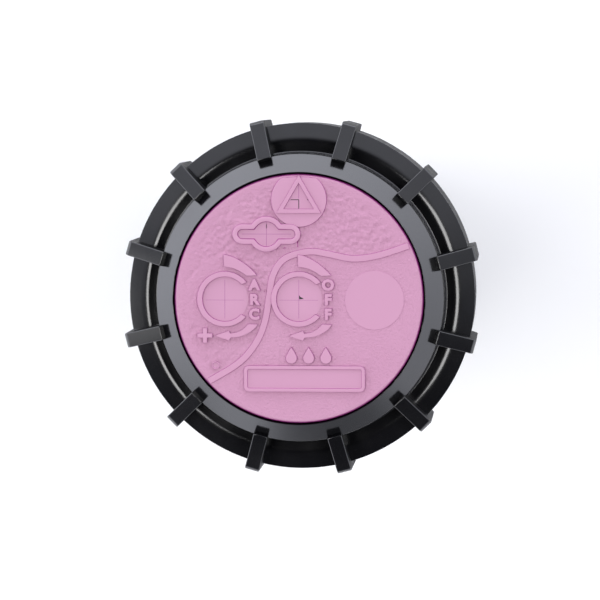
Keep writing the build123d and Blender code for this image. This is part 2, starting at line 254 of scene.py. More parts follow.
def ribbon(line: list[Point], width: float) -> list[Point]:
    """The outline of a band of one width along a line."""
    left, right = [], []
    for before, here, after in zip([line[0], *line], line, [*line[1:], line[-1]]):
        run = (after[0] - before[0], after[1] - before[1])
        length = math.hypot(*run)
        aside = (-run[1] / length * width / 2, run[0] / length * width / 2)
        left.append((here[0] + aside[0], here[1] + aside[1]))
        right.append((here[0] - aside[0], here[1] - aside[1]))
    return left + right[::-1]


def moved(outline: list[Point], x: float, y: float) -> list[Point]:
    """An outline shifted by x and y."""
    return [(px + x, py + y) for px, py in outline]


# ------------------------------------------------------------------ finishes


class Slot(Enum):
    """The record's material slots."""

    CASE = "case_plastic"
    CAP = "cap_plastic"
    RISER = "riser_plastic"
    COVER = "cover_rubber"
    SEAL = "seal_rubber"
    STEEL = "spring_steel"
    ACETAL = "acetal"
    NOZZLE = "nozzle_plastic"
    SCREW = "screw_plastic"


def linear(red: int, green: int, blue: int) -> Colour:
    """A display colour of 0 to 255 as linear light."""
    shares = (c / 255 for c in (red, green, blue))
    return tuple(c / 12.92 if c <= 0.04045 else ((c + 0.055) / 1.055) ** 2.4 for c in shares)


def new_group(name: str, inputs: dict[str, float], outputs: list[str]) -> bpy.types.NodeTree:
    """Start a shader node group.

    Args:
        name: The group's name.
        inputs: Number sockets and their defaults.
        outputs: Number sockets, or a vector socket when named Normal.

    Returns:
        The empty group with its two end nodes.
    """
    group = bpy.data.node_groups.new(name, "ShaderNodeTree")
    for label, value in inputs.items():
        socket = group.interface.new_socket(label, in_out="INPUT", socket_type="NodeSocketFloat")
        socket.default_value = value
    for label in outputs:
        kind = "NodeSocketVector" if label == "Normal" else "NodeSocketFloat"
        group.interface.new_socket(label, in_out="OUTPUT", socket_type=kind)
    group.nodes.new("NodeGroupInput").name = "in"
    group.nodes.new("NodeGroupOutput").name = "out"
    return group


def node(
    tree: bpy.types.NodeTree, kind: str, values: dict | None = None, **settings: object
) -> bpy.types.Node:
    """Add a node with socket values by name and settings by keyword."""
    made = tree.nodes.new(kind)
    for key, value in settings.items():
        setattr(made, key, value)
    for key, value in (values or {}).items():
        made.inputs[key].default_value = value
    return made


def grain_group() -> bpy.types.NodeTree:
    """Moulded grain: a height and a mottle that vary over the surface."""
    group = new_group("moulded_grain", {"Scale": 900.0, "Mottle Scale": 60.0}, ["Height", "Mottle"])
    place = node(group, "ShaderNodeTexCoord")
    fine = node(group, "ShaderNodeTexNoise", {"Detail": 4.0, "Roughness": 0.6})
    broad = node(group, "ShaderNodeTexNoise", {"Detail": 3.0, "Roughness": 0.55})
    wire = group.links.new
    for texture, scale, out in ((fine, "Scale", "Height"), (broad, "Mottle Scale", "Mottle")):
        wire(place.outputs["Object"], texture.inputs["Vector"])
        wire(group.nodes["in"].outputs[scale], texture.inputs["Scale"])
        wire(texture.outputs["Fac"], group.nodes["out"].inputs[out])
    return group


def wear_group() -> bpy.types.NodeTree:
    """Edge wear: a mask that is strong on sharp convex edges, broken up by noise."""
    group = new_group("edge_wear", {"Scale": 300.0, "Amount": 0.5}, ["Mask"])
    wire = group.links.new
    shape = node(group, "ShaderNodeNewGeometry")
    crest = node(group, "ShaderNodeMapRange", {"From Min": 0.52, "From Max": 0.62})
    wire(shape.outputs["Pointiness"], crest.inputs["Value"])
    place = node(group, "ShaderNodeTexCoord")
    patchy = node(group, "ShaderNodeTexNoise", {"Detail": 3.0})
    wire(place.outputs["Object"], patchy.inputs["Vector"])
    wire(group.nodes["in"].outputs["Scale"], patchy.inputs["Scale"])
    broken = node(group, "ShaderNodeMath", operation="MULTIPLY")
    wire(crest.outputs["Result"], broken.inputs[0])
    wire(patchy.outputs["Fac"], broken.inputs[1])
    share = node(group, "ShaderNodeMath", operation="MULTIPLY")
    wire(broken.outputs[0], share.inputs[0])
    wire(group.nodes["in"].outputs["Amount"], share.inputs[1])
    wire(share.outputs[0], group.nodes["out"].inputs["Mask"])
    return group


def dust_group() -> bpy.types.NodeTree:
    """Dust: a mask that settles on upward faces in faint clouds."""
    group = new_group("settled_dust", {"Scale": 120.0, "Amount": 0.1}, ["Mask"])
    wire = group.links.new
    shape = node(group, "ShaderNodeNewGeometry")
    split = node(group, "ShaderNodeSeparateXYZ")
    wire(shape.outputs["Normal"], split.inputs[0])
    upward = node(group, "ShaderNodeMapRange", {"From Min": 0.3, "From Max": 1.0})
    wire(split.outputs["Z"], upward.inputs["Value"])
    place = node(group, "ShaderNodeTexCoord")
    cloud = node(group, "ShaderNodeTexNoise", {"Detail": 6.0, "Roughness": 0.65})
    wire(place.outputs["Object"], cloud.inputs["Vector"])
    wire(group.nodes["in"].outputs["Scale"], cloud.inputs["Scale"])
    thin = node(group, "ShaderNodeMapRange", {"From Min": 0.45, "From Max": 0.8})
    wire(cloud.outputs["Fac"], thin.inputs["Value"])
    lie = node(group, "ShaderNodeMath", operation="MULTIPLY")
    wire(upward.outputs["Result"], lie.inputs[0])
    wire(thin.outputs["Result"], lie.inputs[1])
    share = node(group, "ShaderNodeMath", operation="MULTIPLY")
    wire(lie.outputs[0], share.inputs[0])
    wire(group.nodes["in"].outputs["Amount"], share.inputs[1])
    wire(share.outputs[0], group.nodes["out"].inputs["Mask"])
    return group


@dataclass(frozen=True)
class Finish:
    """A moulded or metal finish, made from the shared grain, wear and dust groups."""

    colour: Colour
    mottled: Colour
    worn: Colour
    roughness: tuple[float, float] = (0.3, 0.45)
    metallic: float = 0.0
    specular: float = 0.5
    grain_scale: float = 900.0
    grain_height: float = 0.02
    wear: float = 0.3
    dust: float = 0.08
    dust_colour: Colour = (0.35, 0.34, 0.33)

    def start(
        self, slot: Slot, groups: dict[str, bpy.types.NodeTree]
    ) -> tuple[bpy.types.Material, bpy.types.Node]:
        """Build the material and return it with its colour node, the last before the shader."""
        material = bpy.data.materials.new(slot.value + "_finish")
        material.use_nodes = True
        tree = material.node_tree
        shader = tree.nodes["Principled BSDF"]
        shader.inputs["Metallic"].default_value = self.metallic
        shader.inputs["Specular IOR Level"].default_value = self.specular
        wire = tree.links.new
        grain = node(tree, "ShaderNodeGroup", node_tree=groups["grain"])
        grain.inputs["Scale"].default_value = self.grain_scale
        wear = node(tree, "ShaderNodeGroup", node_tree=groups["wear"])
        wear.inputs["Amount"].default_value = self.wear
        dust = node(tree, "ShaderNodeGroup", node_tree=groups["dust"])
        dust.inputs["Amount"].default_value = self.dust
        body = node(tree, "ShaderNodeMix", data_type="RGBA")
        body.inputs["A"].default_value = (*self.colour, 1)
        body.inputs["B"].default_value = (*self.mottled, 1)
        wire(grain.outputs["Mottle"], body.inputs["Factor"])
        edges = node(tree, "ShaderNodeMix", data_type="RGBA")
        edges.inputs["B"].default_value = (*self.worn, 1)
        wire(wear.outputs["Mask"], edges.inputs["Factor"])
        wire(body.outputs["Result"], edges.inputs["A"])
        dusty = node(tree, "ShaderNodeMix", data_type="RGBA")
        dusty.inputs["B"].default_value = (*self.dust_colour, 1)
        wire(dust.outputs["Mask"], dusty.inputs["Factor"])
        wire(edges.outputs["Result"], dusty.inputs["A"])
        wire(dusty.outputs["Result"], shader.inputs["Base Color"])
        sheen = node(
            tree,
            "ShaderNodeMapRange",
            {"From Min": 0.3, "From Max": 0.7, "To Min": self.roughness[0], "To Max": self.roughness[1]},
        )
        wire(grain.outputs["Mottle"], sheen.inputs["Value"])
        wire(sheen.outputs["Result"], shader.inputs["Roughness"])
        bump = node(tree, "ShaderNodeBump", {"Strength": 1.0, "Distance": self.grain_height * MM})
        wire(grain.outputs["Height"], bump.inputs["Height"])
        wire(bump.outputs["Normal"], shader.inputs["Normal"])
        return material, dusty

    def make(self, slot: Slot, groups: dict[str, bpy.types.NodeTree]) -> bpy.types.Material:
        """Build the material for a slot."""
        return self.start(slot, groups)[0]


@dataclass(frozen=True)
class CoverRubber(Finish):
    """Soft purple rubber with painted shade: its steep edges and walls are painted a deeper magenta."""

    # The painted shade colour that the steep edges and walls take.
    painted_edge_shade: Colour = linear(132, 34, 112)

    def make(self, slot: Slot, groups: dict[str, bpy.types.NodeTree]) -> bpy.types.Material:
        """Build the rubber with the painted shade on its steep edges."""
        material, last = self.start(slot, groups)
        tree = material.node_tree
        # Painted shade: faces that lean away from upright are mixed towards a deeper magenta, as the shade on the
        # walls of the marks and the rim.
        shape = node(tree, "ShaderNodeNewGeometry")
        split = node(tree, "ShaderNodeSeparateXYZ")
        steep = node(
            tree,
            "ShaderNodeMapRange",
            {"From Min": 0.94, "From Max": 0.72, "To Min": 0.0, "To Max": 1.0},
        )
        edge = node(tree, "ShaderNodeMix", data_type="RGBA")
        edge.inputs["B"].default_value = (*self.painted_edge_shade, 1)
        wire = tree.links.new
        wire(shape.outputs["Normal"], split.inputs[0])
        wire(split.outputs["Z"], steep.inputs["Value"])
        wire(steep.outputs["Result"], edge.inputs["Factor"])
        wire(last.outputs["Result"], edge.inputs["A"])
        wire(edge.outputs["Result"], tree.nodes["Principled BSDF"].inputs["Base Color"])
        return material


FINISHES: dict[Slot, Finish] = {
    Slot.CASE: Finish(
        linear(32, 33, 36),
        linear(25, 25, 28),
        linear(72, 74, 80),
        roughness=(0.38, 0.52),
        grain_height=0.03,
        wear=0.5,
    ),
    Slot.CAP: Finish(
        linear(11, 11, 14),
        linear(8, 8, 10),
        linear(30, 31, 36),
        roughness=(0.13, 0.2),
        specular=0.62,
        grain_scale=500.0,
        grain_height=0.004,
        wear=0.25,
        dust=0.012,
    ),
    Slot.RISER: Finish(linear(30, 30, 33), linear(22, 22, 24), linear(70, 70, 76), roughness=(0.22, 0.32)),
    Slot.COVER: CoverRubber(
        linear(178, 130, 157),
        linear(172, 123, 151),
        linear(187, 143, 168),
        roughness=(0.5, 0.62),
        specular=0.4,
        grain_scale=1900.0,
        grain_height=0.22,
        wear=0.3,
        dust=0.03,
        dust_colour=linear(196, 160, 186),
    ),
    Slot.SEAL: Finish(
        linear(20, 20, 20),
        linear(14, 14, 14),
        linear(44, 44, 44),
        roughness=(0.6, 0.75),
        specular=0.3,
        dust=0.15,
    ),
    Slot.STEEL: Finish(
        linear(206, 207, 208),
        linear(184, 186, 190),
        linear(228, 228, 228),
        roughness=(0.2, 0.34),
        metallic=1.0,
        grain_scale=2500.0,
        grain_height=0.004,
        dust=0.0,
    ),
    Slot.ACETAL: Finish(
        linear(232, 229, 218),
        linear(222, 218, 206),
        linear(240, 238, 230),
        roughness=(0.32, 0.42),
        dust=0.04,
    ),
    Slot.NOZZLE: Finish(
        linear(46, 84, 140),
        linear(38, 72, 124),
        linear(84, 118, 168),
        roughness=(0.26, 0.36),
    ),
    Slot.SCREW: Finish(linear(112, 114, 118), linear(98, 100, 104), linear(150, 150, 152)),
}


SMOOTH_RUBBER = CoverRubber(
    linear(178, 130, 157),
    linear(174, 126, 154),
    linear(187, 143, 168),
    roughness=(0.48, 0.58),
    specular=0.4,
    grain_scale=2600.0,
    grain_height=0.012,
    wear=0.3,
    dust=0.02,
    dust_colour=linear(196, 160, 186),
)
MATT_SKIRT = Finish(
    linear(11, 11, 14),
    linear(8, 8, 10),
    linear(30, 31, 36),
    roughness=(0.45, 0.55),
    specular=0.08,
    grain_scale=500.0,
    grain_height=0.01,
    wear=0.25,
    dust=0.012,
)
# Painted shade: the deeper magenta of the closed hairline slits stands in for the shade inside the cuts.
HAIRLINE_SHADE = Finish(
    linear(148, 88, 134),
    linear(142, 82, 128),
    linear(148, 88, 134),
    roughness=(0.6, 0.7),
    dust=0.0,
)


def paint(piece: Piece, material: bpy.types.Material) -> None:
    """Give a piece one finish all over."""
    piece.data.materials.clear()
    piece.data.materials.append(material)


# ------------------------------------------------------------------ sub-assemblies


@dataclass
class ScrewCap:
    """The glossy screw cap: a stepped shell with grip ribs down its side."""

    profile: list[Point] = field(
        default_factory=lambda: [
            (29.35, 160.0),
            (33.5, 160.0),
            (33.5, 179.05),
            (31.2, 180.15),
            (30.7, 180.36),
            (30.2, 180.52),
            (29.75, 180.585),
            (29.5, 180.58),
            (28.2, 180.54),
            (27.98, 180.64),
            (27.84, 180.95),
            (27.75, 181.5),
            (27.6, 186.2),
            (24.2, 189.6),
            (24.1, 189.5),
            (24.1, 183.9),
            (21.2, 183.9),
            (21.2, 181.4),
            (24.4, 181.4),
            (24.4, 177.0),
            (29.35, 177.0),
        ]
    )
    grip: list[Point] = field(
        default_factory=lambda: [
            (26.6, 186.3),
            (27.45, 188.05),
            (34.4, 184.4),
            (34.8, 183.6),
            (34.8, 161.6),
            (33.2, 160.6),
            (32.0, 162.0),
            (32.0, 177.5),
            (26.9, 179.0),
        ]
    )
    grip_count: int = 12
    grip_start: float = 14.2
    grip_width: float = 2.8
    facets: int = 192
    shell_edge: float = 0.16
    rib_edge: float = 0.2
    skirt_reach: float = 28.2
    wall_lean: float = 0.3

    def rib(self, turn: float) -> Piece:
        """Model one grip rib and turn it into place by an angle in degrees."""
        half = self.grip_width / 2
        piece = loop_piece("grip_rib", [(radius, -half, height) for radius, height in self.grip])
        edit(piece)
        bpy.ops.mesh.edge_face_add()
        bpy.ops.mesh.extrude_region_move(TRANSFORM_OT_translate={"value": (0, self.grip_width * MM, 0)})
        bpy.ops.mesh.select_all(action="SELECT")
        bpy.ops.mesh.normals_make_consistent(inside=False)
        close()
        soften(piece, self.rib_edge, segments=3, angle=12)
        edit(piece)
        bpy.ops.transform.rotate(value=-math.radians(turn), orient_axis="Z", center_override=(0, 0, 0))
        close()
        return piece

    def dress(self, shell: Piece, gloss: bpy.types.Material, matt: bpy.types.Material) -> None:
        """Give the tops and the bore the gloss, and the upright outer walls the matt finish."""
        paint(shell, gloss)
        shell.data.materials.append(matt)
        for face in shell.data.polygons:
            upright = abs(face.normal.z) < self.wall_lean
            outside = math.hypot(face.center.x, face.center.y) > self.skirt_reach * MM
            face.material_index = int(upright and outside)

    def build(self, gloss: bpy.types.Material, matt: bpy.types.Material) -> Piece:
        """Model the cap, with its ribs fused to the shell."""
        shell = spun("screw_cap", self.profile, self.facets)
        soften(shell, self.shell_edge, segments=2, angle=38)
        ribs = joined([self.rib(self.grip_start + n * 360 / self.grip_count) for n in range(self.grip_count)])
        apply(shell, "BOOLEAN", object=ribs, operation="UNION", solver="EXACT")
        bpy.data.objects.remove(ribs)
        smooth(shell)
        self.dress(shell, gloss, matt)
        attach(shell, "casing")
        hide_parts("body_cap")
        return shell


@dataclass
class CoverMarks:
    """The raised marks of the rubber cover, each an outline in millimetres."""

    face: float
    relief: float = 0.5
    ring_outer: float = 5.32
    ring_inner: float = 4.26
    ring_centres: tuple[Point, ...] = ((-14.16, -0.08), (0.0, -0.07))
    marker: Point = (0.0, 18.97)
    marker_radius: float = 5.32
    rim: float = 23.3
    socket: Point = (-6.19, 12.35)
    socket_depth: float = 0.46
    button: Point = (14.45, -0.23)
    button_radius: float = 5.65
    ridge_width: float = 1.3
    letter_rows: tuple[float, ...] = (2.55, -0.25, -3.05)
    letter_size: float = 2.75
    letter_stroke: float = 0.12
    letter_bevel: float = 0.08
    letter_depth: float = 0.4
    drop_row: tuple[float, ...] = (-1.4, 1.9, 5.2)
    drop_level: float = -11.35
    drop_radius: float = 1.1
    nameplate: Point = (1.1, -15.3)
    nameplate_half: Point = (11.6, 2.5)
    nameplate_corner: float = 1.0
    disc_rise: float = 0.34
    triangle_rise: float = 0.66
    ridge: tuple[Point, ...] = (
        (-17.3, -15.9),
        (-11.35, -12.2),
        (-8.1, -8.3),
        (-6.5, -4.4),
        (-5.7, 0.1),
        (-4.9, 4.6),
        (-2.6, 7.7),
        (1.9, 9.0),
        (5.4, 8.6),
        (10.3, 7.7),
        (15.1, 8.3),
        (21.0, 10.2),
    )

    def mark(self, name: str, outline: list[Point], rise: float | None = None, **sizes: float) -> Piece:
        """Raise one mark from just under the cover's face."""
        height = self.relief if rise is None else rise
        return raised(name, outline, self.face - 0.5, self.face + height, **sizes)

    def open_ring(self, centre: Point) -> Piece:
        """The ring that is open to the right, around a screw."""
        outline = arc(centre, self.ring_outer, 37, 321, 40) + arc(centre, self.ring_inner, 318, 40, 36)
        return self.mark("open_ring", outline)

    def sweep_mark(self, x: float, y: float) -> Piece:
        """The tapering flag over an open ring."""
        top = [(-14.42, 8.55), (-12.6, 8.0), (-10.9, 7.1), (-9.3, 5.9), (-7.9, 4.45)]
        bottom = [(-9.9, 4.35), (-11.2, 5.2), (-12.6, 5.8), (-14.3, 6.1)]
        return self.mark("sweep_mark", moved(flowing(top) + flowing(bottom), x, y))

    def arrow(self, x: float, y: float) -> Piece:
        """The curved arrow under an open ring."""
        under = [(-7.8, -4.9), (-8.5, -5.8), (-9.7, -6.65), (-11.2, -7.25), (-13.0, -7.45)]
        over = [(-13.1, -6.65), (-11.7, -6.35), (-10.5, -5.7), (-9.67, -4.8)]
        head = [(-13.35, -8.05), (-16.1, -7.1), (-13.3, -6.1)]
        return self.mark("arrow", moved(flowing(under) + head + flowing(over), x, y))

    def plus(self) -> Piece:
        """The plus sign at the arrow's tip."""
        long, short, x, y = 1.45, 0.43, -17.96, -7.06
        corner = [(long, -short), (long, short), (short, short)]
        outline = [
            (x + a * math.cos(turn) - b * math.sin(turn), y + a * math.sin(turn) + b * math.cos(turn))
            for turn in (0, math.pi / 2, math.pi, 3 * math.pi / 2)
            for a, b in corner
        ]
        return self.mark("plus", outline, edge=0.08)

    def lift_socket(self) -> Piece:
        """The keyhole with its standing border and sunk floor."""
        x, y = self.socket
        reach, half, swell = 6.56, 1.94, 3.42
        lean = math.degrees(math.asin(half / swell))
        end = reach - half
        outline = (
            arc((x + end, y), half, -90, 90, 10)
            + arc((x, y), swell, lean, 180 - lean, 14)
            + arc((x - end, y), half, 90, 270, 10)
            + arc((x, y), swell, 180 + lean, 360 - lean, 14)
        )
        return self.mark("lift_socket", outline, border=1.04, depth=self.socket_depth)

    def nozzle_marker(self) -> list[Piece]:
        """The disc with the triangle that points the way of the stream."""
        x, y = self.marker
        meet_y = (self.rim**2 + y**2 - self.marker_radius**2) / (2 * y)
        meet_x = math.sqrt(self.rim**2 - meet_y**2)
        lean = math.degrees(math.atan2(meet_y - y, meet_x))
        rim_lean = math.degrees(math.atan2(meet_y, meet_x))
        outline = arc((x, y), self.marker_radius, 180 - lean, 360 + lean, 56)
        outline += arc((0, 0), self.rim, rim_lean, 180 - rim_lean, 8)[1:-1]
        disc = self.mark("marker_disc", outline, rise=self.disc_rise, edge=0.2)
        corners = [(x - 4.3, y - 2.62), (x + 4.3, y - 2.62), (x, y + 4.75)]
        rise = self.triangle_rise
        triangle = self.mark("marker_triangle", corners, rise=rise, border=0.82, depth=0.3, edge=0.09)
        return [disc, triangle]

    def letters(self, word: str, x: float) -> list[Piece]:
        """A short function word, one plain letter under another."""
        made = []
        for letter, y in zip(word, self.letter_rows):
            clear()
            bpy.ops.object.text_add()
            text = bpy.context.object
            text.data.body = letter
            text.data.size = self.letter_size
            text.data.align_x = "CENTER"
            text.data.align_y = "CENTER"
            text.data.extrude = self.letter_depth
            text.data.offset = self.letter_stroke
            text.data.bevel_depth = self.letter_bevel
            text.data.resolution_u = 6
            bpy.ops.object.convert(target="MESH")
            piece = bpy.context.object
            piece.name = piece.data.name = "letter"
            for vertex in piece.data.vertices:
                vertex.co = (vertex.co + Vector((x, y, self.face))) * MM
            edit(piece)
            bpy.ops.mesh.remove_doubles(threshold=0.002 * MM)
            bpy.ops.mesh.normals_make_consistent(inside=False)
            close()
            made.append(piece)
        return made

    def slit(self, x: float, y: float, wide: float, tall: float, top: float) -> Piece:
        """A hairline slit, a thin dark bar of painted shade whose top is just proud of the rubber round it."""
        outline = [(x - wide / 2, y - tall / 2), (x + wide / 2, y - tall / 2)]
        outline += [(x + wide / 2, y + tall / 2), (x - wide / 2, y + tall / 2)]
        return raised("slit", outline, top - 0.3, top + 0.012, edge=0.0)

    def drops(self) -> list[Piece]:
        """Three plain water drops in a row."""
        made = []
        y = self.drop_level
        for x in self.drop_row:
            outline = arc((x, y), self.drop_radius, -210, 30, 16)
            outline += [(x + 0.42, y + 1.5), (x, y + 2.2), (x - 0.42, y + 1.5)]
            made.append(self.mark("water_drop", outline))
        return made

    def plaque(self) -> Piece:
        """A blank nameplate with a raised border."""
        x, y = self.nameplate
        reach, half = self.nameplate_half
        round_off = self.nameplate_corner
        outline = []
        for turn, side_x, side_y in ((0, 1, 1), (90, -1, 1), (180, -1, -1), (270, 1, -1)):
            corner = (x + side_x * (reach - round_off), y + side_y * (half - round_off))
            outline += arc(corner, round_off, turn, turn + 90, 6)
        return self.mark("plaque", outline, border=0.7, depth=0.24, edge=0.1)

    def small_dot(self) -> Piece:
        """The moulder's small round mark."""
        return self.mark("small_dot", arc((-15.9, -12.8), 0.8, 0, 340, 17), rise=0.2, border=0.25, depth=0.15)

    def build_all(self) -> list[Piece]:
        """Every mark that stands in the cover's own colour."""
        made = [self.open_ring(centre) for centre in self.ring_centres]
        step = self.ring_centres[1][0] - self.ring_centres[0][0]
        for x in (0.0, step):
            made += [self.sweep_mark(x, 0.0), self.arrow(x, 0.0)]
        made += [self.plus(), self.lift_socket(), self.plaque(), self.small_dot()]
        made += self.nozzle_marker() + self.drops()
        made += self.letters("ARC", -8.5) + self.letters("OFF", 5.6) + self.fields()
        ridge = ribbon(flowing(list(self.ridge)), self.ridge_width)
        made.append(self.mark("wavy_ridge", ridge, rise=0.22, edge=0.2))
        return made

    def fields(self) -> list[Piece]:
        """The smooth fields: inside the open rings, and the blank button."""
        made = [
            self.mark("ring_field", arc(centre, self.ring_inner + 0.2, 0, 354, 59), rise=0.035, edge=0.0)
            for centre in self.ring_centres
        ]
        round_field = arc(self.button, self.button_radius, 0, 355, 71)
        made.append(self.mark("button", round_field, rise=0.07, edge=0.05))
        return made

    def build_slits(self) -> tuple[list[Piece], list[Piece]]:
        """The bars of painted shade in the slits: deeper magenta in the closed hairlines, dark in the open slits.
        """
        x, y = self.marker
        key_x, key_y = self.socket
        marker_top = self.face + 0.36
        socket_top = self.face + self.relief - self.socket_depth
        field_top = self.face + 0.035
        hairlines = [
            self.slit(x, y + 1.9, 0.09, 3.4, marker_top),
            self.slit(key_x, key_y, 0.08, 5.0, socket_top),
            self.slit(key_x, key_y, 9.4, 0.08, socket_top),
        ]
        for ring_x, ring_y in self.ring_centres:
            hairlines.append(self.slit(ring_x, ring_y, 0.07, 7.4, field_top))
            hairlines.append(self.slit(ring_x, ring_y - 0.2, 7.4, 0.06, field_top))
        # Painted shade: the open slits are dark bars, where the openings show only shade.
        open_slits = [
            self.slit(x - 0.75, y - 0.05, 1.6, 0.14, marker_top),
            self.slit(x + 0.02, y - 0.9, 0.14, 1.7, marker_top),
            self.slit(x + 1.72, y - 0.05, 0.22, 0.14, marker_top),
            self.slit(key_x + 0.02, key_y + 1.5, 0.12, 0.8, socket_top),
            raised(
                "slit_gap",
                [(0.05, 0.72), (0.32, 0.34), (0.62, 0.22), (0.95, -0.02), (0.4, -0.07), (0.08, -0.1)],
                self.face - 0.3,
                field_top + 0.014,
                edge=0.0,
            ),
        ]
        return hairlines, open_slits


@dataclass
class TurretCover:
    """The rubber cover: a crowned disc with pebbled and fine fields, and its raised marks."""

    radius: float = 23.8
    face: float = 189.5
    foot: float = 184.0
    inner: float = 23.2
    under: float = 186.5
    rim: float = 0.5
    ring_step: float = 0.22
    facets: int = 420
    pebble_size: float = 0.8
    pebble_height: float = 0.36
    pebble_fade: float = 1.6
    ring_margin: float = 0.4
    socket_reach: Point = (6.0, 2.6)
    rim_margin: float = 0.6
    letter_reach: float = 7.6
    letter_share: float = 0.25

    def profile(self) -> list[Point]:
        """Half the section, from the top's centre out round the rim to the underside's centre."""
        flat = self.radius - self.rim
        rings = int(flat / self.ring_step)
        top = [(n * flat / rings, self.face) for n in range(rings + 1)]
        rim = arc((flat, self.face - self.rim), self.rim, 78, 0, 5)
        skirt = [(self.radius, self.foot), (self.inner, self.foot)]
        return top + rim + skirt + [(self.inner, self.under), (0.0, self.under)]

    def pebbled(self, marks: CoverMarks, spine: list[Point], x: float, y: float) -> float:
        """How strongly the pebbles show at a point, from 0 to 1.

        Args:
            marks: The marks, which the pebbles stay clear of.
            spine: The middle of the wavy ridge, which bounds the pebbles.
            x: The point's x in millimetres.
            y: The point's y in millimetres.

        Returns:
            The strength, which fades towards the ridge and the rim.
        """
        nearest = min(range(len(spine) - 1), key=lambda n: (spine[n][0] - x) ** 2 + (spine[n][1] - y) ** 2)
        here, after = spine[nearest], spine[nearest + 1]
        side = (after[0] - here[0]) * (y - here[1]) - (after[1] - here[1]) * (x - here[0])
        ring_x, ring_y = marks.ring_centres[0]
        from_ring = math.hypot(x - ring_x, y - ring_y)
        reach_x, reach_y = self.socket_reach
        in_socket = abs(x - marks.socket[0]) < reach_x and abs(y - marks.socket[1]) < reach_y
        if side < 0 or in_socket or from_ring < marks.ring_inner + self.ring_margin:
            return 0.0
        from_ridge = math.hypot(here[0] - x, here[1] - y)
        from_rim = self.radius - self.rim - self.rim_margin - math.hypot(x, y)
        near_letters = self.letter_share if from_ring < self.letter_reach else 1.0
        return max(0.0, min(near_letters, from_rim / self.pebble_fade, from_ridge / self.pebble_fade))

    def disc(self, marks: CoverMarks) -> Piece:
        """Model the disc and press the pebbles into its upper left field."""
        piece = spun("cover_disc", self.profile(), self.facets, solid=False)
        group = piece.vertex_groups.new(name="pebbled")
        spine = flowing(list(marks.ridge), 2)
        for vertex in piece.data.vertices:
            x, y, z = vertex.co / MM
            if z > self.face - 0.01 and (weight := self.pebbled(marks, spine, x, y)):
                group.add([vertex.index], weight, "REPLACE")
        cells = bpy.data.textures.new("pebbles", "VORONOI")
        cells.noise_scale = self.pebble_size * MM
        cells.distance_metric = "DISTANCE"
        apply(
            piece,
            "DISPLACE",
            texture=cells,
            texture_coords="LOCAL",
            direction="Z",
            strength=-self.pebble_height * MM,
            mid_level=0.25,
            vertex_group="pebbled",
        )
        piece.vertex_groups.clear()
        return piece

    def build(
        self,
        grained: bpy.types.Material,
        plain: bpy.types.Material,
        hairline: bpy.types.Material,
        dark: bpy.types.Material,
    ) -> Piece:
        """Model the whole cover and put it on the turret.

        Args:
            grained: The rubber of the disc.
            plain: The smoother rubber of the marks.
            hairline: The painted shade of a closed slit, a deeper magenta.
            dark: The shade inside an open slit.

        Returns:
            The cover, marks and all.
        """
        marks = CoverMarks(self.face)
        disc = self.disc(marks)
        paint(disc, grained)
        raised_marks = marks.build_all()
        hairlines, open_slits = marks.build_slits()
        for piece in raised_marks:
            paint(piece, plain)
        body = joined([disc, *raised_marks])
        body.name = body.data.name = "rubber_cover"
        smooth(body, 40)
        for piece in hairlines:
            paint(piece, hairline)
        for piece in open_slits:
            paint(piece, dark)
        slits = joined(hairlines + open_slits)
        slits.name = slits.data.name = "cover_slits"
        for piece in (body, slits):
            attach(piece, "turret")
        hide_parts("turret_cover")
        return body


@dataclass
class CoilSpring:
    """A wire spring with closed ends."""

    name: str
    stands_for: str
    body: str
    joint: str
    radius: float
    wire: float
    turns: int
    stroke: float
    sides: int = 10
    facets: int = 32

    def build(self, material: bpy.types.Material) -> Piece:
        """Wind the spring between the two ends of the node that it stands for."""
        low, high = (corner[2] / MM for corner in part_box(self.stands_for))
        rise = high - low - self.wire
        centre = low + self.wire / 2
        ring = arc((self.radius, centre), self.wire / 2, 0, 360 - 360 / self.sides, self.sides - 1)
        piece = loop_piece(self.name, [(x, 0.0, z) for x, z in ring])
        pitch = rise / self.turns
        apply(piece, "SCREW", screw_offset=pitch * MM, iterations=self.turns, steps=self.facets, axis="Z")
        edit(piece)
        bpy.ops.mesh.fill_holes(sides=0)
        bpy.ops.mesh.normals_make_consistent(inside=False)
        close()
        return self.finish(piece, material, rise, high)

    def finish(self, piece: Piece, material: bpy.types.Material, rise: float, high: float) -> Piece:
        """Smooth, dress and hang the spring on its body."""
        smooth(piece, 60)
        paint(piece, material)
        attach(piece, self.body)
        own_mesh(piece)
        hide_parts(self.stands_for)
        return piece


